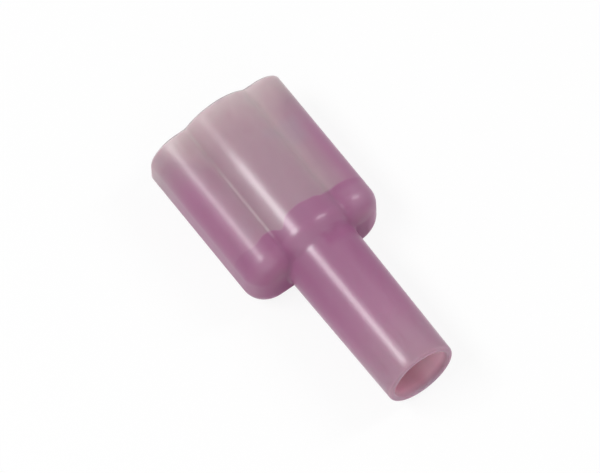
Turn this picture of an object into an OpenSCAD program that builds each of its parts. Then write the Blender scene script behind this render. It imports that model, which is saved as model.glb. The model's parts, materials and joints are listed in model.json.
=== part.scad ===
// Fully insulated male spade terminal: a moulded sleeve over a stamped and rolled tab.
// X runs along the wire axis with the mating mouth at +X, Z is up and the sleeve lies on Z = 0.

/* [Sleeve] */
// Width of the sleeve across its two lobes
sleeve_w = 10.1; // [9:0.1:12]
// Thickness of the sleeve between its flat faces
sleeve_t = 5.3; // [5:0.1:6.4]
// Length of the sleeve from mouth to shoulder
sleeve_len = 11.4; // [10:0.1:14]
// Corner radius of the sleeve's section
sleeve_corner_r = 2; // [1.4:0.1:2.4]
// Height of the half-round ridge above the upper face
ridge_rise = 1; // [0.8:0.1:1.5]
// Edge rounding where the sleeve ends in the shoulder
shoulder_r = 1.5; // [0.6:0.05:1.6]
// Edge rounding where the ridge ends above the barrel
ridge_end_r = 0.8; // [0.5:0.05:1.6]
// Wall of the sleeve
sleeve_wall = 0.6; // [0.4:0.05:0.8]
// Solid web between the cavity and the shoulder
web_t = 2.2; // [1.6:0.1:3.2]
// Depth of the lead-in chamfer round the inside of the mouth
mouth_lead = 0.25; // [0.1:0.05:0.35]
// Rounding round the outside of the mouth
mouth_lip = 0.15; // [0.05:0.05:0.2]

/* [Barrel] */
// Length of the barrel behind the shoulder
barrel_len = 10.6; // [9:0.1:14]
// Height of the barrel's axis, which is also the ridge's, above the middle of the sleeve
barrel_rise = 0.5; // [0:0.05:0.5]
// Outer diameter of the barrel at the shoulder
barrel_root_d = 5.2; // [4.8:0.05:5.3]
// Outer diameter of the barrel at the wire end
barrel_end_d = 4.9; // [4.7:0.05:5.3]
// Fillet between the shoulder and the barrel's sides
root_fillet = 0.35; // [0.1:0.05:0.5]
// Bore for the wire with its insulation
wire_d = 3.9; // [3:0.1:4]
// Length of the funnel at the wire entry
entry_len = 1.4; // [0.6:0.1:2]
// Thickness of the rim left round the wire entry
entry_rim = 0.4; // [0.3:0.05:0.45]
// Rounding of the barrel's outer edge at the wire end
rim_round = 0.12; // [0.05:0.01:0.2]
// Thickness of the lip that stops the crimp barrel
lip_t = 0.3; // [0.2:0.05:0.6]
// Length of the inner funnel that leads the strands to the lip
strand_funnel_len = 0.9; // [0.5:0.1:1.4]

/* [Terminal] */
// Width of the tab
tab_w = 6.35; // [5:0.05:7]
// Thickness of the sheet
sheet_t = 0.8; // [0.5:0.05:0.9]
// Distance of the tab's tip behind the mouth
tab_recess = 0.8; // [0.2:0.1:2]
// Corner cut at the tip, across the tab
tip_cut = 1; // [0.5:0.1:1.5]
// Length of the bevel on both faces of the tip
tip_bevel = 1; // [0.5:0.1:1.6]
// Thickness left at the end of the bevel, as a share of the sheet
tip_share = 0.45; // [0.3:0.05:0.8]
// Diameter of the detent hole
detent_d = 1.75; // [1.2:0.05:2.2]
// Distance of the detent hole from the tip
detent_from_tip = 4; // [3:0.1:4.7]
// Length of the dished neck between the tab and the crimp barrel
neck_len = 1.3; // [1:0.1:1.8]
// Half of the angle that the neck wraps round the crimp barrel
neck_half_angle = 70; // [50:5:90]
// How far the neck's edges stay inside the crimp barrel's outline
neck_inset = 0.1; // [0.05:0.05:0.2]
// Inner diameter of the crimp barrel
crimp_id = 1.7; // [1.2:0.05:1.9]
// Length of the crimp barrel
crimp_len = 5.6; // [4.6:0.1:6.4]
// Gap of the crimp barrel's butted seam
seam_gap = 0.1; // [0.05:0.05:0.2]
// Bell at the wire end of the crimp barrel
bell = 0.2; // [0.1:0.05:0.3]

/* [Fit] */
// Clearance between the crimp barrel and its seat, on the radius
seat_clearance = 0.05; // [0.03:0.01:0.1]
// Clearance between the crimp barrel's end and the lip
end_clearance = 0.05; // [0.03:0.01:0.2]

/* [Hidden] */
$fn = 96;
overlap = 0.5;
hair = 0.01;
neck_rings = 12;
neck_strips = 20;

half_w = sleeve_w / 2;
half_t = sleeve_t / 2;
mid_z = max(half_t, barrel_root_d / 2 - barrel_rise, barrel_end_d / 2 - barrel_rise);
overall_len = sleeve_len + barrel_len;
cavity_depth = sleeve_len - web_t;
ridge_r = half_t + ridge_rise - barrel_rise;
edge_r = min(shoulder_r, sleeve_corner_r - hair);
ridge_edge_r = min(ridge_end_r, ridge_r - hair);

crimp_r = crimp_id / 2 + sheet_t;
crimp_mid_r = crimp_id / 2 + sheet_t / 2;
neck_half_w = sqrt(pow(crimp_r - neck_inset, 2) - pow(sheet_t / 2 + barrel_rise, 2));
crimp_start = cavity_depth + neck_len;
crimp_end = crimp_start + crimp_len;
seat_r = crimp_r + seat_clearance;
lip_start = crimp_end + end_clearance;
lip_r = crimp_id / 2 + bell;
strand_funnel_start = lip_start + lip_t;
wire_start = strand_funnel_start + strand_funnel_len;
entry_start = overall_len - entry_len;
entry_r = max(barrel_end_d / 2 - entry_rim, wire_d / 2 + 5 * hair);

// Places a shape that is drawn with its depth from the mouth along Z and its upper side along X
module from_mouth() {
    translate([overall_len / 2, 0, mid_z]) rotate([0, -90, 0]) children();
}

// Lifts a shape from the middle of the sleeve to the barrel's axis
module on_barrel_axis() {
    translate([barrel_rise, 0, 0]) children();
}

// Draws a flat shape and its mirror image
module both_sides() {
    children();
    mirror([1, 0]) children();
}

// Carries an edge profile round the sleeve's section: two flat faces, two sides, four corners and
// the ridge. The profile is drawn for a surface that lies $reach from the line it is carried along and
// has an edge rounding of $edge at its end
module carried_round_section(w, t, corner_r, ridge) {
    core_w = w - corner_r;
    core_t = t - corner_r;
    rotate([90, 0, 0]) linear_extrude(2 * core_w, center = true)
        both_sides() let ($reach = t, $edge = edge_r) children();
    for (side = [0, 1]) mirror([0, side, 0]) {
        translate([0, core_w, 0]) rotate([90, 0, 90]) linear_extrude(2 * core_t, center = true)
            let ($reach = corner_r, $edge = edge_r) children();
        for (face = [0, 1]) mirror([face, 0, 0])
            translate([core_t, core_w, 0]) rotate_extrude(angle = 90)
                let ($reach = corner_r, $edge = edge_r) children();
    }
    on_barrel_axis() rotate([0, 0, -90]) rotate_extrude(angle = 180)
        let ($reach = ridge, $edge = ridge_edge_r) children();
}

// Quarter of a disc that rounds off an outer edge, with its centre at the origin
module edge_round(r) {
    intersection() {
        circle(r);
        square(r);
    }
}

// Edge profile of the sleeve's outside, rounded a little at the mouth and fully at the shoulder
module outer_profile() {
    square([$reach - mouth_lip, mouth_lip]);
    translate([$reach - mouth_lip, mouth_lip]) mirror([0, 1]) edge_round(mouth_lip);
    translate([0, mouth_lip]) square([$reach, sleeve_len - $edge - mouth_lip]);
    translate([0, sleeve_len - $edge]) square([$reach - $edge, $edge]);
    translate([$reach - $edge, sleeve_len - $edge]) edge_round($edge);
}

// Edge profile of the cavity, widened at the mouth
module cavity_profile() {
    polygon([
        [0, -overlap], [$reach + mouth_lead + overlap, -overlap],
        [$reach, mouth_lead], [$reach, cavity_depth], [0, cavity_depth]
    ]);
}

module sleeve_outside() {
    carried_round_section(half_w, half_t, sleeve_corner_r, ridge_r) outer_profile();
}

module sleeve_cavity() {
    carried_round_section(half_w - sleeve_wall, half_t - sleeve_wall,
        sleeve_corner_r - sleeve_wall, ridge_r - sleeve_wall) cavity_profile();
}

// Fillets at the two sides of the barrel, as far as the flat of the shoulder reaches
module root_fillets() {
    root_r = barrel_root_d / 2;
    flat_t = 2 * (half_t - edge_r);
    intersection() {
        translate([barrel_rise, 0, sleeve_len]) rotate_extrude() translate([root_r, 0]) difference() {
            square(root_fillet);
            translate([root_fillet, root_fillet]) circle(root_fillet);
        }
        translate([-flat_t / 2, -half_w, sleeve_len - overlap])
            cube([flat_t, sleeve_w, root_fillet + 2 * overlap]);
    }
}

// Barrel with its draft, rooted in the web and rounded at the wire end
module barrel_outside() {
    end_r = barrel_end_d / 2;
    rim_start = overall_len - rim_round;
    on_barrel_axis() rotate_extrude() {
        polygon([
            [0, cavity_depth + web_t / 2], [barrel_root_d / 2, cavity_depth + web_t / 2],
            [barrel_root_d / 2, sleeve_len], [end_r, rim_start], [0, rim_start]
        ]);
        translate([0, rim_start]) square([end_r - rim_round, rim_round]);
        translate([end_r - rim_round, rim_start]) edge_round(rim_round);
    }
}

// Stepped bore: crimp barrel seat, lip, strand funnel, wire bore and entry funnel
module barrel_bore() {
    on_barrel_axis() rotate_extrude() polygon([
        [0, cavity_depth - overlap], [seat_r, cavity_depth - overlap], [seat_r, lip_start],
        [lip_r, lip_start], [lip_r, strand_funnel_start], [wire_d / 2, wire_start],
        [wire_d / 2, entry_start], [entry_r, overall_len], [entry_r, overall_len + overlap],
        [0, overall_len + overlap]
    ]);
}

module housing() {
    color([0.72, 0.42, 0.6]) from_mouth() difference() {
        union() {
            sleeve_outside();
            barrel_outside();
            root_fillets();
        }
        sleeve_cavity();
        barrel_bore();
    }
}

// Flat tab with cut corners, a bevelled tip and a detent hole
module tab() {
    tip = tab_recess;
    half_tab = tab_w / 2;
    half_sheet = sheet_t / 2;
    half_tip = half_sheet * tip_share;
    difference() {
        intersection() {
            rotate([90, 0, 90]) linear_extrude(2 * sheet_t, center = true) polygon([
                [-half_tab, cavity_depth], [-half_tab, tip + tip_cut], [-half_tab + tip_cut, tip],
                [half_tab - tip_cut, tip], [half_tab, tip + tip_cut], [half_tab, cavity_depth]
            ]);
            rotate([90, 0, 0]) linear_extrude(2 * tab_w, center = true) polygon([
                [-half_sheet, cavity_depth], [-half_sheet, tip + tip_bevel], [-half_tip, tip],
                [half_tip, tip], [half_sheet, tip + tip_bevel], [half_sheet, cavity_depth]
            ]);
        }
        translate([0, 0, tip + detent_from_tip]) rotate([0, 90, 0])
            cylinder(d = detent_d, h = 2 * sheet_t, center = true);
    }
}

// The neck's sheet at a share of its length, from flat behind the tab to dished at the crimp barrel
function eased(share) = share * share * (3 - 2 * share);
function mixed(a, b, share) = a + (b - a) * share;
function neck_angle(across) = across * neck_half_angle;
function neck_mid(across, share) = mixed(
    [0, across * neck_half_w],
    [barrel_rise, 0] + crimp_mid_r * [-cos(neck_angle(across)), sin(neck_angle(across))], share);
function neck_normal(across, share) =
    let (n = mixed([1, 0], [cos(neck_angle(across)), -sin(neck_angle(across))], share)) n / norm(n);
function neck_point(across, share, face) =
    let (p = neck_mid(across, share) + face * (sheet_t / 2 - hair) * neck_normal(across, share))
    [p.x, p.y];
function neck_ring(share) = [
    for (i = [0 : neck_strips]) neck_point(2 * i / neck_strips - 1, share, -1),
    for (i = [0 : neck_strips]) neck_point(1 - 2 * i / neck_strips, share, 1)
];

// Sheet lofted from flat, behind the tab, to dished, in front of the crimp barrel
module neck() {
    points = [
        for (k = [0 : neck_rings]) for (p = neck_ring(eased(k / neck_rings)))
            [p.x, p.y, cavity_depth + neck_len * k / neck_rings]
    ];
    count = 2 * (neck_strips + 1);
    last = neck_rings * count;
    faces = [
        for (i = [0 : neck_strips - 1]) [count - 1 - i, count - 2 - i, i + 1, i],
        for (k = [0 : neck_rings - 1]) for (i = [0 : count - 1])
            let (a = k * count + i, b = k * count + (i + 1) % count) [a, b, b + count, a + count],
        for (i = [0 : neck_strips - 1]) [last + i, last + i + 1, last + count - 2 - i, last + count - 1 - i]
    ];
    polyhedron(points, faces);
}

// Rolled tube with its seam on the upper side and a bell at the wire end
module crimp_barrel() {
    on_barrel_axis() difference() {
        translate([0, 0, crimp_start]) rotate_extrude() polygon([
            [crimp_id / 2, 0], [crimp_r, 0], [crimp_r, crimp_len],
            [crimp_id / 2 + bell, crimp_len], [crimp_id / 2, crimp_len - bell]
        ]);
        translate([0, -seam_gap / 2, crimp_start - overlap])
            cube([crimp_r + overlap, seam_gap, crimp_len + 2 * overlap]);
    }
}

module terminal() {
    color([0.76, 0.74, 0.7]) from_mouth() {
        tab();
        neck();
        crimp_barrel();
    }
}

housing();
terminal();
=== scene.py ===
"""Fully insulated male spade terminal: translucent nylon moulding over a tinned brass tab.

All shapes are worked out in millimetres with depth counted from the sleeve's mouth, y sideways and
u the height above the wire axis, and are put into the frame in metres at the end. Left and right are
those of the photograph, so y is positive on the left.
"""

import json
import math

import bpy
import numpy as np
from mathutils import Matrix, Vector


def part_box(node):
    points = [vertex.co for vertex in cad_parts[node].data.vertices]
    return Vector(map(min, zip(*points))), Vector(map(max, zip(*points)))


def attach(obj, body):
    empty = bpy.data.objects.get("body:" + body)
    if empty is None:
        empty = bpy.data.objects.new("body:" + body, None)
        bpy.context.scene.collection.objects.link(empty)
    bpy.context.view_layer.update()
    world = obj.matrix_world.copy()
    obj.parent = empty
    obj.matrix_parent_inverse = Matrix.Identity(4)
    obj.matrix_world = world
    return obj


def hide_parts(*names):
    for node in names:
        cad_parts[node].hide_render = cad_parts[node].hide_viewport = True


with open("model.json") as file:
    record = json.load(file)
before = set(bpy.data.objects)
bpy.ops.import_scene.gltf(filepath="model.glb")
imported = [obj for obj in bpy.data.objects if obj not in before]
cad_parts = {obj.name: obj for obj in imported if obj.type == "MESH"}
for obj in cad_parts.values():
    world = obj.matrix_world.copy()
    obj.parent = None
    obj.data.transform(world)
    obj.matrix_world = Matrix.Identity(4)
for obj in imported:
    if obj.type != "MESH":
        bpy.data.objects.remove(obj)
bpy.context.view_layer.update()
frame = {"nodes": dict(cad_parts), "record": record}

# Sizes of the moulding in millimetres. The overall ones come from the frame
MM = 0.001
box_low, box_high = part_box("housing")
OVERALL_LEN = (box_high.x - box_low.x) / MM
SLEEVE_HALF_W = (box_high.y - box_low.y) / MM / 2
mounts = {mount["name"]: mount for mount in frame["record"]["mounts"]}
AXIS_Z = mounts["wire_entry"]["pos_m"][2] / MM
WIRE_R = mounts["wire_entry"]["dims"]["r_mm"]
SLEEVE_HALF_T = mounts["tab"]["pos_m"][2] / MM
BARREL_RISE = AXIS_Z - SLEEVE_HALF_T
RIDGE_R = box_high.z / MM - AXIS_Z
SLEEVE_LEN = 11.4
SLEEVE_CORNER_R = 2.0
SLEEVE_WALL = 0.6
SHOULDER_R = 1.5
RIDGE_END_R = 1.3
VALLEY_BLEND = 0.15
WEB_T = 2.2
CAVITY_DEPTH = SLEEVE_LEN - WEB_T
CAVITY_CORNER = 0.2
MOUTH_LIP = 0.15
MOUTH_LEAD = 0.25
MOUTH_EDGE = 0.03
BARREL_ROOT_R = 2.6
BARREL_END_R = 2.45
BARREL_EDGE = 0.2
ENTRY_RIM = 0.42
ENTRY_EDGE = 0.16
ENTRY_LEN = 1.4
FUNNEL_EDGE = 0.1
FUNNEL_EDGE_RISE = 0.01
STRAND_FUNNEL_LEN = 0.9
LIP_R = 1.05
LIP_START = 16.15
LIP_T = 0.3
SEAT_R = 1.7
SEAT_EDGE = 0.05

# Blend of the barrel's root into the shoulder, and the wider one into the ridge's end. The first turns into
# the second over this span of heights above the axis
ROOT_BLEND = 0.25
RIDGE_ROOT_BLEND = 0.5
RIDGE_ROOT_SPAN = (1.4, 2.4)

# The wire end is cut aslant: its upper edge stands back, and the barrel is drawn in with it over a length
END_SLANT = 0.12
SLANT_LEN = 2

# Fineness of the moulding's grid: points round it, rings along its parts and the longest step in the bore
AROUND = 360
OUTLINE_POINTS = 4097
EDGE_RINGS = 7
WALL_RINGS = 22
FAN_RINGS = 72
BARREL_RINGS = 20
CORNER_RINGS = 5
WEB_RINGS = 5
CAVITY_RINGS = 15
BORE_STEP = 0.4

# Round the shoulder the rays fan out from one point of the axis, up to a tilt towards the wire end. The
# barrel's rings start a little past the last of them
FAN_ORIGIN = SLEEVE_LEN - 3
FAN_TILT = math.radians(53)
BARREL_GAP = 0.1


def eased(value, span):
    """Cubic ease 3v^2 - 2v^3 from 0 at a span's first end to 1 at its second, which may be the lower one."""
    first, second = span
    v = np.clip((value - first) / (second - first), 0, 1)
    return v * v * (3 - 2 * v)


def band(value, corners):
    """Share that rises from 0 to 1 between the first two of four corners and falls between the last two."""
    rise_start, rise_end, fall_start, fall_end = corners
    return eased(value, (rise_start, rise_end)) * eased(value, (fall_end, fall_start))


def bell(value, middle, width):
    """Bell curve exp(-d^2), with d the distance from the middle in widths."""
    return np.exp(-(((value - middle) / width) ** 2))


def mix(first, second, share):
    """The first value where the share is 0, the second where it is 1, and between them in proportion."""
    return first + (second - first) * share


def smooth_union(a, b, blend):
    """Union of two distance fields, with the crease between them filled over the width blend."""
    h = np.clip(1 - np.abs(a - b) / blend, 0, 1)
    return np.minimum(a, b) - h * h * blend / 4


def bar_distance(y, u):
    """Distance from the sleeve's bar: a rectangle with rounded corners, its middle below the wire axis."""
    over_y = np.abs(y) - (SLEEVE_HALF_W - SLEEVE_CORNER_R)
    over_u = np.abs(u + BARREL_RISE) - (SLEEVE_HALF_T - SLEEVE_CORNER_R)
    corner = np.hypot(np.maximum(over_y, 0), np.maximum(over_u, 0))
    return corner + np.minimum(np.maximum(over_y, over_u), 0) - SLEEVE_CORNER_R


def ridge_distance(y, u):
    """Distance from the ridge: a half disc that stands on the wire axis."""
    below = np.hypot(np.maximum(np.abs(y) - RIDGE_R, 0), u)
    return np.where(u >= 0, np.hypot(y, u) - RIDGE_R, below)


def section_distance(y, u):
    """Distance from the sleeve's section, with the valley beside the ridge filled a little."""
    return smooth_union(bar_distance(y, u), ridge_distance(y, u), VALLEY_BLEND)


def with_rounded_end(section, depth, edge):
    """Distance from a section carried to the shoulder, its end there rounded by the radius edge."""
    side = section + edge
    end = depth - SLEEVE_LEN + edge
    return np.minimum(np.maximum(side, end), 0) + np.hypot(np.maximum(side, 0), np.maximum(end, 0)) - edge


def barrel_radius(depth):
    """Radius of the barrel, with a straight draft from the shoulder to the wire end."""
    share = np.clip((depth - SLEEVE_LEN) / (OVERALL_LEN - SLEEVE_LEN), 0, 1)
    return mix(BARREL_ROOT_R, BARREL_END_R, share)


def moulding_distance(depth, y, u):
    """Distance from the outside: bar and ridge, rounded at the shoulder, and the barrel."""
    bar = with_rounded_end(bar_distance(y, u), depth, SHOULDER_R)
    ridge = with_rounded_end(ridge_distance(y, u), depth, RIDGE_END_R)
    sleeve = smooth_union(bar, ridge, VALLEY_BLEND)
    barrel = np.maximum(np.hypot(y, u) - barrel_radius(depth), SLEEVE_LEN - SHOULDER_R - depth)
    return smooth_union(sleeve, barrel, mix(ROOT_BLEND, RIDGE_ROOT_BLEND, eased(u, RIDGE_ROOT_SPAN)))


def distance_to_surface(field, reach=9.0, steps=40):
    """Length along each ray at which a field turns positive, halved towards from both ends."""
    low = np.zeros_like(field(0.0))
    high = np.full_like(low, reach)
    for _ in range(steps):
        middle = (low + high) / 2
        outside = field(middle) > 0
        high = np.where(outside, middle, high)
        low = np.where(outside, low, middle)
    return (low + high) / 2


def even_angles(count):
    """Angles round the axis that share the section's outline out evenly by its length."""
    angle = np.linspace(0, 2 * np.pi, OUTLINE_POINTS)
    r = distance_to_surface(lambda s: section_distance(s * np.cos(angle), s * np.sin(angle)))
    y, u = r * np.cos(angle), r * np.sin(angle)
    along = np.concatenate([[0], np.cumsum(np.hypot(np.diff(y), np.diff(u)))])
    return np.interp(np.arange(count) * along[-1] / count, along, angle)


ANGLES = even_angles(AROUND)


def rings_on_outside(origins, tilts):
    """Rings where rays from the axis, tilted from square towards the wire end, leave the moulding."""
    origin, angle = np.meshgrid(origins, ANGLES, indexing="ij")
    tilt = np.broadcast_to(tilts[:, None], origin.shape)
    way_x, way_r = np.sin(tilt), np.cos(tilt)
    way_y, way_u = way_r * np.cos(angle), way_r * np.sin(angle)
    s = distance_to_surface(lambda s: moulding_distance(origin + s * way_x, s * way_y, s * way_u))
    floor_reach = np.where(way_u < 0, AXIS_Z / np.maximum(-way_u, 1e-6), np.inf)
    s = np.minimum(s, floor_reach)
    return np.stack([origin + s * way_x, s * way_y, s * way_u], -1)


def rings_in_section(depths, insets):
    """Rings that follow the sleeve's section drawn in by an inset, one ring for each depth."""
    depth, angle = np.meshgrid(depths, ANGLES, indexing="ij")
    inset = np.broadcast_to(insets[:, None], depth.shape)
    cos, sin = np.cos(angle), np.sin(angle)
    s = distance_to_surface(lambda s: section_distance(s * cos, s * sin) + inset)
    return np.stack([depth, s * cos, s * sin], -1)


def round_rings(profile):
    """Rings of a turned shape: the profile's corners as given, its straight runs cut into short steps."""
    points = [np.array(profile[:1], float)]
    for start, end in zip(profile[:-1], profile[1:]):
        count = max(1, math.ceil(math.dist(start, end) / BORE_STEP))
        share = np.linspace(0, 1, count + 1)[1:, None]
        points.append(np.array(start) * (1 - share) + np.array(end) * share)
    depth, r = np.concatenate(points).T
    depth, angle = np.meshgrid(depth, ANGLES, indexing="ij")
    return np.stack([depth, r[:, None] * np.cos(angle), r[:, None] * np.sin(angle)], -1)


def quarter_turn(count):
    """Angles from 0 to 90 degrees, for an edge's rounding."""
    return np.linspace(0, math.pi / 2, count)


def outside_rings():
    """Rings of the mouth's lip, the sleeve's wall, the shoulder and the barrel up to the wire end's edge."""
    turn = quarter_turn(EDGE_RINGS)
    lip = rings_in_section(MOUTH_LIP * (1 - np.sin(turn)), MOUTH_LIP * (1 - np.cos(turn)))[::-1]
    wall_depths = np.linspace(MOUTH_LIP, FAN_ORIGIN, WALL_RINGS)
    wall = rings_on_outside(wall_depths, np.zeros_like(wall_depths))
    fan_tilts = np.linspace(0, FAN_TILT, FAN_RINGS)[1:]
    fan = rings_on_outside(np.full_like(fan_tilts, FAN_ORIGIN), fan_tilts)
    barrel_start = fan[-1, :, 0].max() + BARREL_GAP
    barrel_depths = np.linspace(barrel_start, OVERALL_LEN - BARREL_EDGE, BARREL_RINGS)
    barrel = rings_on_outside(barrel_depths, np.zeros_like(barrel_depths))
    return [lip[:-1], wall, fan, barrel]


def bore_rings():
    """Rings of the wire end's edges, the wire funnel, the strands' funnel, the lip and the crimp's seat."""
    turn = quarter_turn(EDGE_RINGS)
    entry_r = BARREL_END_R - ENTRY_RIM
    funnel_foot = OVERALL_LEN - ENTRY_LEN
    strand_start = LIP_START + LIP_T
    outer_edge = [
        (OVERALL_LEN - BARREL_EDGE * (1 - math.sin(a)), BARREL_END_R - BARREL_EDGE * (1 - math.cos(a)))
        for a in turn[1:]
    ]
    inner_edge = [
        (OVERALL_LEN - ENTRY_EDGE * (1 - math.cos(a)), entry_r + ENTRY_EDGE * (1 - math.sin(a)))
        for a in turn
    ]
    inside = [
        (funnel_foot + FUNNEL_EDGE, WIRE_R + FUNNEL_EDGE_RISE),
        (funnel_foot - FUNNEL_EDGE, WIRE_R),
        (strand_start + STRAND_FUNNEL_LEN, WIRE_R),
        (strand_start, LIP_R),
        (LIP_START, LIP_R),
        (LIP_START, SEAT_R),
        (CAVITY_DEPTH + SEAT_EDGE, SEAT_R),
        (CAVITY_DEPTH, SEAT_R + SEAT_EDGE),
    ]
    return round_rings(outer_edge + inner_edge + inside)


def cavity_rings(seat_edge):
    """Rings of the web's face from the seat's edge outwards, and of the cavity's corner, wall and lead."""
    turn = quarter_turn(CORNER_RINGS)
    corner = rings_in_section(
        CAVITY_DEPTH - CAVITY_CORNER * (1 - np.cos(turn)), SLEEVE_WALL + CAVITY_CORNER * (1 - np.sin(turn))
    )
    share = np.linspace(0, 1, WEB_RINGS + 2)[1:-1, None, None]
    web_face = seat_edge * (1 - share) + corner[0] * share
    depths = np.linspace(CAVITY_DEPTH - CAVITY_CORNER, MOUTH_LEAD, CAVITY_RINGS + 1)[1:]
    wall = rings_in_section(depths, np.full_like(depths, SLEEVE_WALL))
    lead_inset = SLEEVE_WALL - MOUTH_LEAD
    lead = rings_in_section(np.array([MOUTH_EDGE, 0]), np.array([lead_inset + MOUTH_EDGE, lead_inset]))
    return [web_face, corner, wall, lead]


def housing_rings():
    """All rings of the moulding in one closed round trip: mouth, outside, wire end, bore, web, cavity."""
    bore = bore_rings()
    return np.concatenate([*outside_rings(), bore, *cavity_rings(bore[-1])])


def slanted(rings):
    """The same rings with the wire end cut a little aslant: its upper edge stands back by END_SLANT."""
    depth, y, u = np.moveaxis(rings, -1, 0)
    near_end = eased(depth, (OVERALL_LEN - SLANT_LEN, OVERALL_LEN))
    height = (u + BARREL_END_R) / (2 * BARREL_END_R)
    return np.stack([depth - END_SLANT * height * near_end, y, u], -1)


# Places that colour and polish go by, in millimetres. Here and below, a span runs from where a share is 0 to
# where it is 1, and a band has the corners of a rise and a fall
RIGHT_TO_LEFT = (-2.5, 2.5)
LOBE_SPAN = (2.9, 3.5)
BORE_INSET = 0.1
CORNER_REACH = 1.2
CORNER_OUT = (4.4, BARREL_ROOT_R)
CORNER_UP = (2.2, 0.6)


def turn_round_axis(y, u):
    """Degrees round the wire axis: 0 on the left, 90 on top and 180 on the right."""
    return np.degrees(np.arctan2(u, y))


def inside_bore(depth, y, u):
    """True on the walls of the bore behind the shoulder."""
    return (np.hypot(y, u) < barrel_radius(depth) - BORE_INSET) & (depth > SLEEVE_LEN)


def valley_share(depth, y, u, width):
    """1 in the valleys between ridge and lobes, falling to 0 within a width up their sides."""
    beside = np.abs(bar_distance(y, u) - ridge_distance(y, u))
    return eased(beside, (width, 0)) * (depth < SLEEVE_LEN)


def root_corner(depth, y, u):
    """1 in the corners beside the barrel's root, where the shoulder ends, and 0 elsewhere."""
    near_end = eased(np.abs(depth - SLEEVE_LEN), (CORNER_REACH, 0))
    return near_end * eased(np.hypot(y, u), CORNER_OUT) * eased(u, CORNER_UP)


# Edge of the web's deep colour: its reach towards the mouth, its waves and half its softness, and where it
# falls back: turn round the axis and half width in degrees, and length in millimetres
WEB_REACH = 0.2
WEB_WAVE = 0.03
WEB_WAVES = 13
WEB_SOFTNESS = 0.1
WEB_GAPS = [(58, 9, 0.6), (30, 6, 0.3), (121, 8, 0.16)]


def web_share(depth, y, u):
    """1 where the solid web lies behind the surface and 0 over the cavity, with a wavy edge between them."""
    turn = turn_round_axis(y, u)
    reach = WEB_REACH + WEB_WAVE * np.sin(np.radians(WEB_WAVES * turn))
    for middle, width, length in WEB_GAPS:
        reach = reach - length * bell(turn, middle, width)
    return eased(depth + reach, (CAVITY_DEPTH - WEB_SOFTNESS, CAVITY_DEPTH + WEB_SOFTNESS))


# Nylon seen edgewise in the lobes, in millimetres: beside the tab, where it starts nearer the mouth on the
# left, and at their outer sides; and painted shade, given as nylon more, on the left lobe's slope beside the
# valley
TAB_SIDE_NYLON = 0.9
TAB_SIDE = (2.9, 4.5)
TAB_SIDE_ALONG = (1.0, 5.8)
TAB_SIDE_LEAD = 0.7
OUTER_NYLON_RIGHT = 0.05
OUTER_NYLON_LEFT = 0.2
OUTER_SIDE = (3.4, 4.6)
SLOPE_PAINTED_SHADE = 0.16
SLOPE_BAND = (2.45, 2.85, 3.2, 3.7)
SLOPE_ALONG = (1.5, 4.5)


def lobe_nylon_and_slope_shade(depth, y):
    """Millimetres of nylon that the lobes add to the sleeve's wall, with painted shade on the left lobe's
    slope.
    """
    left = eased(y, RIGHT_TO_LEFT)
    beside_tab = eased(np.abs(y), TAB_SIDE) * eased(depth + TAB_SIDE_LEAD * left, TAB_SIDE_ALONG)
    outer = mix(OUTER_NYLON_RIGHT, OUTER_NYLON_LEFT, left) * eased(np.abs(y), OUTER_SIDE)
    # The slope's share is painted shade
    slope = band(y, SLOPE_BAND) * eased(depth, SLOPE_ALONG)
    return TAB_SIDE_NYLON * beside_tab + outer + SLOPE_PAINTED_SHADE * slope


# Painted light and shade at the shoulder, given as millimetres of nylon: less, for painted light, on the
# left lobe's shoulder, on both lobes' ends and in the left corner beside the barrel; more, for painted
# shade, towards the feet of those ends and in the right corner
SHOULDER_PAINTED_LIGHT = -0.5
SHOULDER_SIDE = (2.2, 3.2)
SHOULDER_ALONG = (CAVITY_DEPTH + 0.7, CAVITY_DEPTH + 1.7)
END_PLANE = SLEEVE_LEN + 0.1
LEFT_END_PAINTED_LIGHT = -0.35
LEFT_END_SIDE = (2.2, 2.8)
LEFT_END_ALONG = (SLEEVE_LEN - 0.4, SLEEVE_LEN - 0.1)
LEFT_FOOT_PAINTED_SHADE = 0.75
LEFT_FOOT_SIDE = (4.4, 3.0)
LEFT_FOOT_UP = (0.6, -1.0)
RIGHT_END_PAINTED_LIGHT = -0.95
RIGHT_END_SIDE = (-2.1, -2.6)
RIGHT_END_ALONG = (SLEEVE_LEN - 0.5, SLEEVE_LEN - 0.1)
RIGHT_FOOT_PAINTED_SHADE = 0.5
RIGHT_FOOT_UP = (0.8, 0)
CORNER_PAINTED_SHADE_RIGHT = 0.2
CORNER_PAINTED_LIGHT_LEFT = -0.25


def shoulder_painted_shading(depth, y, u):
    """Painted shade and painted light at the shoulder and in the corners beside the barrel's root, as
    millimetres of nylon.
    """
    shoulder = SHOULDER_PAINTED_LIGHT * eased(y, SHOULDER_SIDE) * eased(depth, SHOULDER_ALONG)
    left_end = eased(y, LEFT_END_SIDE) * eased(depth, LEFT_END_ALONG)
    left_foot = LEFT_FOOT_PAINTED_SHADE * eased(y, LEFT_FOOT_SIDE) * eased(u, LEFT_FOOT_UP)
    right_end = eased(y, RIGHT_END_SIDE) * eased(depth, RIGHT_END_ALONG)
    right_foot = RIGHT_FOOT_PAINTED_SHADE * eased(u, RIGHT_FOOT_UP)
    ends = left_end * (LEFT_END_PAINTED_LIGHT + left_foot) + right_end * (RIGHT_END_PAINTED_LIGHT + right_foot)
    corner = mix(CORNER_PAINTED_SHADE_RIGHT, CORNER_PAINTED_LIGHT_LEFT, eased(y, RIGHT_TO_LEFT))
    return shoulder + ends * (depth < END_PLANE) + corner * root_corner(depth, y, u)


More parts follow.
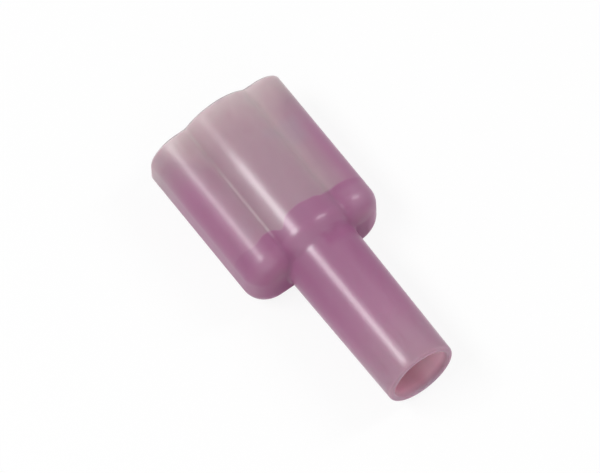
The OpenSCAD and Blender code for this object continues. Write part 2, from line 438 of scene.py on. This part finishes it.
# Painted light in the valleys, given as millimetres of nylon less, which lifts the shade of their creases.
# Past the mouth the right one is paler, and it is wider
VALLEY_PAINTED_LIGHT = 0.07
RIGHT_VALLEY_PAINTED_LIGHT = 0.06
RIGHT_VALLEY_ALONG = (0.5, 2.5)
VALLEY_WIDTH_RIGHT = 0.65
VALLEY_WIDTH_LEFT = 0.15


def valley_painted_light(depth, y, u):
    """Painted light in the valleys beside the ridge, given as millimetres of nylon less, which makes them
    paler.
    """
    left = eased(y, RIGHT_TO_LEFT)
    amount = VALLEY_PAINTED_LIGHT + RIGHT_VALLEY_PAINTED_LIGHT * (1 - left) * eased(depth, RIGHT_VALLEY_ALONG)
    return amount * valley_share(depth, y, u, mix(VALLEY_WIDTH_RIGHT, VALLEY_WIDTH_LEFT, left))


# Painted light at the mouth, paler towards its opening, and painted shade at its lip, both given as nylon
# less; nylon missing along the barrel and at the wire end's rim, in millimetres
MOUTH_PAINTED_LIGHT = 0.48
MOUTH_FADE = 2.2
LIP_PAINTED_SHADE = 0.3
LIP_SPAN = (0.16, 0.06)
BARREL_THINNING = 1.3
BARREL_ALONG = (SLEEVE_LEN + 1, OVERALL_LEN)
RIM_THINNING = 0.35
RIM_ALONG = (OVERALL_LEN - 0.5, OVERALL_LEN - 0.1)


def nylon_behind(depth, y, u):
    """Millimetres of nylon that the colour shows behind the surface, thick at the web; less for painted
    light towards the mouth, in the valleys and at the shoulder, more for painted shade.
    """
    web = web_share(depth, y, u)
    # Paler towards the mouth: painted light from the opening, given as nylon less
    wall = SLEEVE_WALL - MOUTH_PAINTED_LIGHT * np.exp(-depth / MOUTH_FADE)
    nylon = mix(wall, WEB_T, web) + lobe_nylon_and_slope_shade(depth, y) * (1 - web)
    nylon = nylon - BARREL_THINNING * eased(depth, BARREL_ALONG)
    # The lip reaches the ramp's grey first stop: painted shade at the mouth's edge
    nylon = nylon - LIP_PAINTED_SHADE * eased(depth, LIP_SPAN) - RIM_THINNING * eased(depth, RIM_ALONG)
    return nylon + shoulder_painted_shading(depth, y, u) - valley_painted_light(depth, y, u)


# Polish of the left half: dull at the mouth, bright along the highlight on ridge and barrel, which fades a
# little at the ridge's end, dull on the slopes of the valley, and brightest on the lobe, less so at its edge
BARREL_START = (SLEEVE_LEN, SLEEVE_LEN + 1)
MOUTH_POLISH = 0.4
INNER_POLISH = 0.55
INNER_ALONG = (2.2, 5.4)
HIGHLIGHT_TURN = 66
HIGHLIGHT_WIDTH = 14
HIGHLIGHT_ALONG = (2.5, 6.0)
HIGHLIGHT_ON_RIDGE = 0.42
HIGHLIGHT_ON_BARREL = 0.1
RIDGE_END_LOSS = 0.3
RIDGE_END_BAND = (CAVITY_DEPTH, CAVITY_DEPTH + 1.4, SLEEVE_LEN, SLEEVE_LEN + 0.3)
SLOPES_LOSS = 0.45
SLOPES_START = (1.7, 2.2)
LOBE_POLISH = 1.15
LOBE_EDGE_LOSS = 0.45
LOBE_EDGE = (4.1, 4.7)


def left_polish(depth, y, u):
    """Share of full gloss on the left half."""
    highlight = bell(turn_round_axis(y, u), HIGHLIGHT_TURN, HIGHLIGHT_WIDTH) * eased(depth, HIGHLIGHT_ALONG)
    highlight = highlight * (1 - RIDGE_END_LOSS * band(depth, RIDGE_END_BAND))
    highlight = highlight * mix(HIGHLIGHT_ON_RIDGE, HIGHLIGHT_ON_BARREL, eased(depth, BARREL_START))
    lobe = eased(y, LOBE_SPAN)
    slopes = eased(y, SLOPES_START) * (1 - lobe)
    inner = MOUTH_POLISH + INNER_POLISH * eased(depth, INNER_ALONG) + highlight - SLOPES_LOSS * slopes
    return mix(inner, LOBE_POLISH - LOBE_EDGE_LOSS * eased(y, LOBE_EDGE), lobe)


# Polish of the right half: even, brighter on the lobe's shoulder, duller on the barrel and at its root
RIGHT_POLISH = 0.55
RIGHT_LOBE_POLISH = 0.6
RIGHT_LOBE_SIDE = (-2.6, -3.1)
RIGHT_LOBE_ALONG = (CAVITY_DEPTH, CAVITY_DEPTH + 0.5)
RIGHT_BARREL_LOSS = 0.3
ROOT_LOSS = 0.8
ROOT_BAND = (SLEEVE_LEN - 0.4, SLEEVE_LEN - 0.2, SLEEVE_LEN + 0.3, SLEEVE_LEN + 0.7)
ROOT_OUT = (3.2, 2.8)


def right_polish(depth, y, u):
    """Share of full gloss on the right half."""
    barrel = eased(depth, BARREL_START)
    lobe = eased(y, RIGHT_LOBE_SIDE) * eased(depth, RIGHT_LOBE_ALONG) * (1 - barrel)
    root = band(depth, ROOT_BAND) * eased(np.hypot(y, u), ROOT_OUT)
    return (RIGHT_POLISH + RIGHT_LOBE_POLISH * lobe - RIGHT_BARREL_LOSS * barrel) * (1 - ROOT_LOSS * root)


# Shares of the polish lost: in the left valley at the mouth and over the web, on the lobes' ends, which
# would mirror the floor, in the corners and the hollow at the barrel's root, and at the wire end's rim
MIDDLE_TO_RIGHT = (-0.2, -1.4)
VALLEY_LOSS = 0.9
VALLEY_LOSS_WIDTH = 0.25
THIN_WALL_BAND = (2, 3.5, CAVITY_DEPTH + 0.1, CAVITY_DEPTH + 0.5)
END_LOSS_LEFT = 0.97
END_LOSS_RIGHT = 0.2
END_LOSS_RIGHT_FOOT = 0.9
END_FOOT_UP = (1.0, 0.2)
END_FACE_ALONG = (SLEEVE_LEN - 0.7, SLEEVE_LEN - 0.1)
END_FACE_OUT = (BARREL_ROOT_R, BARREL_ROOT_R + 0.25)
END_FACE_UP = (2.3, 1.8)
CORNER_LOSS = 0.75
HOLLOW_LOSS = 0.85
HOLLOW_BAND = (SLEEVE_LEN - 0.2, SLEEVE_LEN, SLEEVE_LEN + 0.6, SLEEVE_LEN + 1.1)
HOLLOW_SIDE = (0.2, -0.3)
HOLLOW_UP = (1.2, 1.8)
RIM_LOSS = 0.85
RIM_LOSS_ALONG = (OVERALL_LEN - 0.55, OVERALL_LEN - 0.15)


def polish(depth, y, u):
    """Share of full gloss: most along the highlights, less at the mouth, on the right and in the corners."""
    right = eased(y, MIDDLE_TO_RIGHT)
    gloss = mix(left_polish(depth, y, u), right_polish(depth, y, u), right)
    valley = valley_share(depth, y, u, VALLEY_LOSS_WIDTH) * (1 - band(depth, THIN_WALL_BAND)) * (1 - right)
    end_face = eased(depth, END_FACE_ALONG) * eased(np.hypot(y, u), END_FACE_OUT) * eased(u, END_FACE_UP)
    end_loss_right = mix(END_LOSS_RIGHT, END_LOSS_RIGHT_FOOT, eased(u, END_FOOT_UP))
    end_loss = mix(END_LOSS_LEFT, end_loss_right, right) * end_face
    hollow = band(depth, HOLLOW_BAND) * eased(y, HOLLOW_SIDE) * eased(u, HOLLOW_UP)
    gloss = gloss * (1 - VALLEY_LOSS * valley) * (1 - end_loss) * (1 - HOLLOW_LOSS * hollow)
    gloss = gloss * (1 - CORNER_LOSS * root_corner(depth, y, u))
    return gloss * (1 - RIM_LOSS * eased(depth, RIM_LOSS_ALONG))


# Shares of full roughness, and where the bore's colour fades at its rim and turns to its lit side
LOBE_MATT = 0.25
BORE_MATT = 0.8
BORE_FADE = (OVERALL_LEN - 0.03, OVERALL_LEN - 0.43)
BORE_LIT_SIDE = (-0.1, -1.0)


def surface_looks(rings):
    """What the nylon's material reads at each point of the mesh, by the name of the attribute."""
    depth, y, u = np.moveaxis(rings, -1, 0)
    bore = inside_bore(depth, y, u)
    return {
        "nylon_behind": nylon_behind(depth, y, u),
        "bore": bore * eased(depth, BORE_FADE),
        "lit": eased(y, BORE_LIT_SIDE),
        "polish": polish(depth, y, u),
        "matte": np.where(bore, BORE_MATT, LOBE_MATT * eased(np.abs(y), LOBE_SPAN)),
    }


def in_frame(points):
    """Millimetres from the mouth, sideways and up, as metres in the shared frame."""
    depth, y, u = np.moveaxis(points, -1, 0)
    return np.stack([OVERALL_LEN / 2 - depth, y, u + AXIS_Z], -1) * MM


def closed_mesh(name, rings, attributes):
    """Mesh of rings joined each to the next and the last to the first, so that nothing stays open."""
    count, around = rings.shape[:2]
    ring, step = np.meshgrid(np.arange(count), np.arange(around), indexing="ij")
    next_ring, next_step = (ring + 1) % count, (step + 1) % around
    corners = [ring * around + step, ring * around + next_step]
    corners += [next_ring * around + next_step, next_ring * around + step]
    faces = np.stack(corners, -1).reshape(-1, 4)
    mesh = bpy.data.meshes.new(name)
    points = in_frame(rings).reshape(-1, 3)
    mesh.vertices.add(len(points))
    mesh.vertices.foreach_set("co", points.ravel())
    mesh.loops.add(faces.size)
    mesh.loops.foreach_set("vertex_index", faces.ravel())
    mesh.polygons.add(len(faces))
    mesh.polygons.foreach_set("loop_start", np.arange(0, faces.size, 4))
    mesh.polygons.foreach_set("use_smooth", np.ones(len(faces), bool))
    for key, values in attributes.items():
        stored = mesh.attributes.new(key, "FLOAT", "POINT")
        stored.data.foreach_set("value", values.ravel().astype(np.float32))
    mesh.update()
    mesh.validate()
    return mesh


def add_object(name, mesh, material):
    """New object at the origin that wears one material."""
    mesh.materials.append(material)
    piece = bpy.data.objects.new(name, mesh)
    bpy.context.scene.collection.objects.link(piece)
    return piece


def new_material(name):
    """New node material, with its node tree and its main shader."""
    material = bpy.data.materials.new(name)
    material.use_nodes = True
    tree = material.node_tree
    return material, tree, tree.nodes["Principled BSDF"]


def add_node(tree, kind, feeds=None, **settings):
    """Node of one kind with its settings; feeds name an input and the socket or the constant for it."""
    made = tree.nodes.new(kind)
    for key, value in settings.items():
        setattr(made, key, value)
    for key, source in (feeds or {}).items():
        if isinstance(source, bpy.types.NodeSocket):
            tree.links.new(source, made.inputs[key])
        else:
            made.inputs[key].default_value = source
    return made


def attribute(tree, name):
    """Socket with a number stored at the points of the mesh."""
    return add_node(tree, "ShaderNodeAttribute", attribute_name=name).outputs["Fac"]


def object_place(tree):
    """Socket with the place in the object's own coordinates."""
    return add_node(tree, "ShaderNodeTexCoord").outputs["Object"]


def noise(tree, place, scale, detail):
    """Socket with smooth noise from 0 to 1."""
    feeds = {"Vector": place, "Scale": scale, "Detail": detail}
    return add_node(tree, "ShaderNodeTexNoise", feeds).outputs["Fac"]


def computed(tree, operation, *values):
    """Socket with the result of one sum on sockets or constants."""
    return add_node(tree, "ShaderNodeMath", dict(enumerate(values)), operation=operation).outputs[0]


def mapped(tree, value, old, new):
    """Socket with a value carried from the old span to the new one, and held at their ends."""
    feeds = {"Value": value, "From Min": old[0], "From Max": old[1], "To Min": new[0], "To Max": new[1]}
    return add_node(tree, "ShaderNodeMapRange", feeds).outputs["Result"]


def mixed_colour(tree, share, first, second):
    """Socket with the first colour where the share is 0 and the second where it is 1."""
    return add_node(tree, "ShaderNodeMix", {0: share, 6: first, 7: second}, data_type="RGBA").outputs[2]


def ramp_colour(tree, share, stops):
    """Socket with the colour at a share along a ramp, whose stops are positions and colours."""
    ramp = add_node(tree, "ShaderNodeValToRGB", {"Fac": share})
    elements = ramp.color_ramp.elements
    while len(elements) < len(stops):
        elements.new(0.5)
    for element, (position, colour) in zip(elements, stops):
        element.position = position
        element.color = colour
    return ramp.outputs["Color"]


def add_bump(tree, shader, height, strength, distance):
    """Small bumps on a shader's surface, by the height in a socket."""
    bump = add_node(tree, "ShaderNodeBump", {"Height": height, "Strength": strength, "Distance": distance})
    tree.links.new(bump.outputs["Normal"], shader.inputs["Normal"])


# Span of a plain share
UNIT = (0.0, 1.0)

# Colour of the nylon by the share of FULL_NYLON millimetres behind the surface, unevened by a cloudy noise.
# The share carries painted light and painted shade too, and the grey first stop is the painted shade at the
# mouth's lip
FULL_NYLON = 3.0
NYLON_COLOURS = [
    (0.0, (0.36, 0.32, 0.33, 1)),
    (0.042, (0.6, 0.53, 0.53, 1)),
    (0.142, (0.46, 0.335, 0.37, 1)),
    (0.225, (0.373, 0.233, 0.293, 1)),
    (0.5, (0.37, 0.165, 0.275, 1)),
    (0.8, (0.325, 0.122, 0.238, 1)),
    (1.0, (0.3, 0.09, 0.14, 1)),
]
CLOUD_SCALE = 420.0
CLOUD_DETAIL = 3.0
CLOUD_NYLON = 0.16

# Violet grey of the milky spots, which show where the nylon is thin, or painted lighter, and their noise is
# high
MILKY = (0.36, 0.3, 0.37, 1)
MILK_SCALE = 260.0
MILK_DETAIL = 2.0
MILK_NOISE = (0.48, 0.66)
MILK_NYLON = (1.2, 0.5)
MILK_SHARE = (0.0, 0.5)

# Colours of the bore: on the side that the barrel shades, and on the side that light comes through
BORE_SHADED = (0.7, 0.45, 0.53, 1)
BORE_LIT = (0.79, 0.6, 0.65, 1)

# Surface and depth of the nylon. Light spreads in it by so many millimetres of red, green and blue
NYLON_ROUGHNESS = (0.28, 0.55)
FULL_GLOSS = 0.5
NYLON_IOR = 1.55
NYLON_SPREAD = (1.0, 0.7, 0.85)
GRAIN_SCALE = 1500.0
GRAIN_DETAIL = 2.0
GRAIN_STRENGTH = 0.05
GRAIN_DISTANCE = 0.0001


def nylon_material():
    """Translucent nylon under a soft gloss: its colour deepens with the nylon behind the surface and with
    the painted light and shade stored along with it.
    """
    material, tree, shader = new_material("nylon")
    place = object_place(tree)
    # The attribute holds the nylon and the painted light and shade together
    nylon = attribute(tree, "nylon_behind")
    cloud = noise(tree, place, CLOUD_SCALE, CLOUD_DETAIL)
    clouded = computed(tree, "MULTIPLY_ADD", cloud, CLOUD_NYLON, nylon)
    deep = ramp_colour(tree, mapped(tree, clouded, (0.0, FULL_NYLON), UNIT), NYLON_COLOURS)
    thin_or_painted_light = mapped(tree, nylon, MILK_NYLON, MILK_SHARE)
    milk = mapped(tree, noise(tree, place, MILK_SCALE, MILK_DETAIL), MILK_NOISE, UNIT)
    outside = mixed_colour(tree, computed(tree, "MULTIPLY", thin_or_painted_light, milk), deep, MILKY)
    inside = mixed_colour(tree, attribute(tree, "lit"), BORE_SHADED, BORE_LIT)
    colour = mixed_colour(tree, attribute(tree, "bore"), outside, inside)
    roughness = mapped(tree, attribute(tree, "matte"), UNIT, NYLON_ROUGHNESS)
    gloss = computed(tree, "MULTIPLY", attribute(tree, "polish"), FULL_GLOSS)
    tree.links.new(colour, shader.inputs["Base Color"])
    tree.links.new(roughness, shader.inputs["Roughness"])
    tree.links.new(gloss, shader.inputs["Specular IOR Level"])
    shader.inputs["IOR"].default_value = NYLON_IOR
    shader.inputs["Subsurface Weight"].default_value = 1.0
    shader.inputs["Subsurface Radius"].default_value = NYLON_SPREAD
    shader.inputs["Subsurface Scale"].default_value = MM
    add_bump(tree, shader, noise(tree, place, GRAIN_SCALE, GRAIN_DETAIL), GRAIN_STRENGTH, GRAIN_DISTANCE)
    return material


# Tin plating: colours, roughness and bumps of its rolling marks, which are drawn out along the strip
TIN_COLOURS = [(0.0, (0.56, 0.54, 0.5, 1)), (1.0, (0.72, 0.7, 0.66, 1))]
TIN_ROUGHNESS = (0.22, 0.42)
MARKS_STRETCH = (300.0, 6000.0, 6000.0)
MARKS_SCALE = 1.0
MARKS_DETAIL = 4.0
MARKS_STRENGTH = 0.1
MARKS_DISTANCE = 0.00002


def tinned_brass_material():
    """Bright tin over brass, with fine rolling marks along the strip."""
    material, tree, shader = new_material("tinned_brass")
    stretched = add_node(tree, "ShaderNodeMapping", {"Vector": object_place(tree), "Scale": MARKS_STRETCH})
    marks = noise(tree, stretched.outputs["Vector"], MARKS_SCALE, MARKS_DETAIL)
    tree.links.new(ramp_colour(tree, marks, TIN_COLOURS), shader.inputs["Base Color"])
    tree.links.new(mapped(tree, marks, UNIT, TIN_ROUGHNESS), shader.inputs["Roughness"])
    shader.inputs["Metallic"].default_value = 1.0
    add_bump(tree, shader, marks, MARKS_STRENGTH, MARKS_DISTANCE)
    return material


def build_housing():
    """The nylon moulding, in place of its plain solid."""
    rings = housing_rings()
    mesh = closed_mesh("nylon_housing", slanted(rings), surface_looks(rings))
    piece = add_object("nylon_housing", mesh, nylon_material())
    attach(piece, "root")
    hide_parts("housing")


def dress_terminal():
    """The stamped terminal keeps its solid's shape and gets its plating."""
    node = frame["nodes"]["terminal"]
    node.data.materials.clear()
    node.data.materials.append(tinned_brass_material())


# Camera of the photograph: its size, the part's length and middle in its pixels, the slope of the wire axis
# across it, the wire end's tilt towards the camera, and the part's roll about that axis
IMAGE_W, IMAGE_H = 600, 473
LENGTH_PX = 348.9
PIXEL = OVERALL_LEN / LENGTH_PX
MIDDLE_PX = (317.9, 252.3)
AXIS_SLOPE = math.radians(50.52)
END_TILT = math.radians(20.66)
ROLL = math.radians(15.18)
LENS_MM = 600
SENSOR_MM = 36
NEAREST = 0.01
FARTHEST = 10


def standing(place, right, up, back):
    """Matrix that puts an object at a place, with its own x, y and z along three directions."""
    return Matrix.Translation(place) @ Matrix((right, up, back)).transposed().to_4x4()


def photo_axes():
    """Right, up and towards the camera, each as a vector in the part's frame."""
    cos_s, sin_s = math.cos(AXIS_SLOPE), math.sin(AXIS_SLOPE)
    cos_e, sin_e = math.cos(END_TILT), math.sin(END_TILT)
    mouth = Vector((-cos_e * cos_s, cos_e * sin_s, -sin_e))
    across = Vector((-sin_s, -cos_s, 0))
    facing = Vector((-sin_e * cos_s, sin_e * sin_s, cos_e))
    side = across * math.cos(ROLL) + facing * math.sin(ROLL)
    up = facing * math.cos(ROLL) - across * math.sin(ROLL)
    return [Vector((mouth[i], side[i], up[i])) for i in range(3)]


def add_camera():
    """Long-lens camera that puts the sleeve's middle line, halfway along, on its pixel of the photograph."""
    right, up, towards = photo_axes()
    data = bpy.data.cameras.new("photo_camera")
    data.lens = LENS_MM
    data.sensor_width = SENSOR_MM
    data.clip_start = NEAREST
    data.clip_end = FARTHEST
    distance = IMAGE_W * PIXEL * MM * LENS_MM / SENSOR_MM
    aside = (MIDDLE_PX[0] - IMAGE_W / 2) * PIXEL * MM
    below = (MIDDLE_PX[1] - IMAGE_H / 2) * PIXEL * MM
    centre = Vector((0, 0, SLEEVE_HALF_T * MM)) - right * aside + up * below
    camera = bpy.data.objects.new("photo_camera", data)
    camera.matrix_world = standing(centre + towards * distance, right, up, towards)
    bpy.context.scene.collection.objects.link(camera)
    bpy.context.scene.camera = camera


# Light: strength of the white surroundings on the part and where they are seen, the floor's paper and the
# share of plain white that it shows, and the softboxes: direction from the part, width and length in metres,
# and watts
WHITE = (1, 1, 1, 1)
SURROUNDINGS = (0.35, 1.0)
FLOOR_PAPER = (0.9, 0.9, 0.9, 1)
FLOOR_WHITE = 0.88
FLOOR_HALF = 2.0
SOFTBOX_DISTANCE = 0.25
SOFTBOXES = {
    "key": ((0.16, 0.493, 0.853), 0.064, 0.15, 0.34),
    "side": ((-0.135, -0.643, 0.753), 0.1, 0.03, 0.13),
    "end": ((-0.65, 0.35, 0.67), 0.25, 0.25, 0.08),
    "fill": ((-0.2, -0.8, 0.57), 0.3, 0.3, 0.1),
}


def add_softbox(name, way, wide, long, watts):
    """Area lamp that faces the part from one direction, its length along the wire axis."""
    data = bpy.data.lights.new(name, "AREA")
    data.shape = "RECTANGLE"
    data.size = wide
    data.size_y = long
    data.energy = watts
    back = Vector(way).normalized()
    sideways = Vector((1, 0, 0)).cross(back).normalized()
    place = Vector((0, 0, AXIS_Z * MM)) + back * SOFTBOX_DISTANCE
    lamp = bpy.data.objects.new(name, data)
    lamp.matrix_world = standing(place, sideways, back.cross(sideways), back)
    lamp.visible_camera = False
    bpy.context.scene.collection.objects.link(lamp)


def seen_directly(tree):
    """1 for rays that show the background: from the camera, by reflection or through the nylon."""
    path = add_node(tree, "ShaderNodeLightPath")
    first = computed(tree, "MAXIMUM", path.outputs["Is Camera Ray"], path.outputs["Is Glossy Ray"])
    return computed(tree, "MAXIMUM", first, path.outputs["Is Transmission Ray"])


def add_surroundings():
    """White world: plain white where it is seen, and a softer light on the part."""
    world = bpy.data.worlds.new("studio")
    bpy.context.scene.world = world
    world.use_nodes = True
    tree = world.node_tree
    background = tree.nodes["Background"]
    background.inputs["Color"].default_value = WHITE
    tree.links.new(mapped(tree, seen_directly(tree), UNIT, SURROUNDINGS), background.inputs["Strength"])


def add_floor():
    """White floor that keeps a little of the part's shadow."""
    material, tree, shader = new_material("floor")
    tree.nodes.remove(shader)
    paper = add_node(tree, "ShaderNodeBsdfDiffuse", {"Color": FLOOR_PAPER})
    glow = add_node(tree, "ShaderNodeEmission", {"Color": WHITE, "Strength": 1.0})
    share = computed(tree, "MULTIPLY", seen_directly(tree), FLOOR_WHITE)
    mixed = add_node(tree, "ShaderNodeMixShader", {0: share, 1: paper.outputs[0], 2: glow.outputs[0]})
    tree.links.new(mixed.outputs[0], tree.nodes["Material Output"].inputs["Surface"])
    corners = [(x * FLOOR_HALF, y * FLOOR_HALF, 0) for x, y in ((-1, -1), (1, -1), (1, 1), (-1, 1))]
    mesh = bpy.data.meshes.new("floor")
    mesh.from_pydata(corners, [], [(0, 1, 2, 3)])
    add_object("floor", mesh, material)


add_camera()
add_surroundings()
add_floor()
for name, settings in SOFTBOXES.items():
    add_softbox(name, *settings)
build_housing()
dress_terminal()
bpy.context.scene.view_settings.view_transform = "Standard"
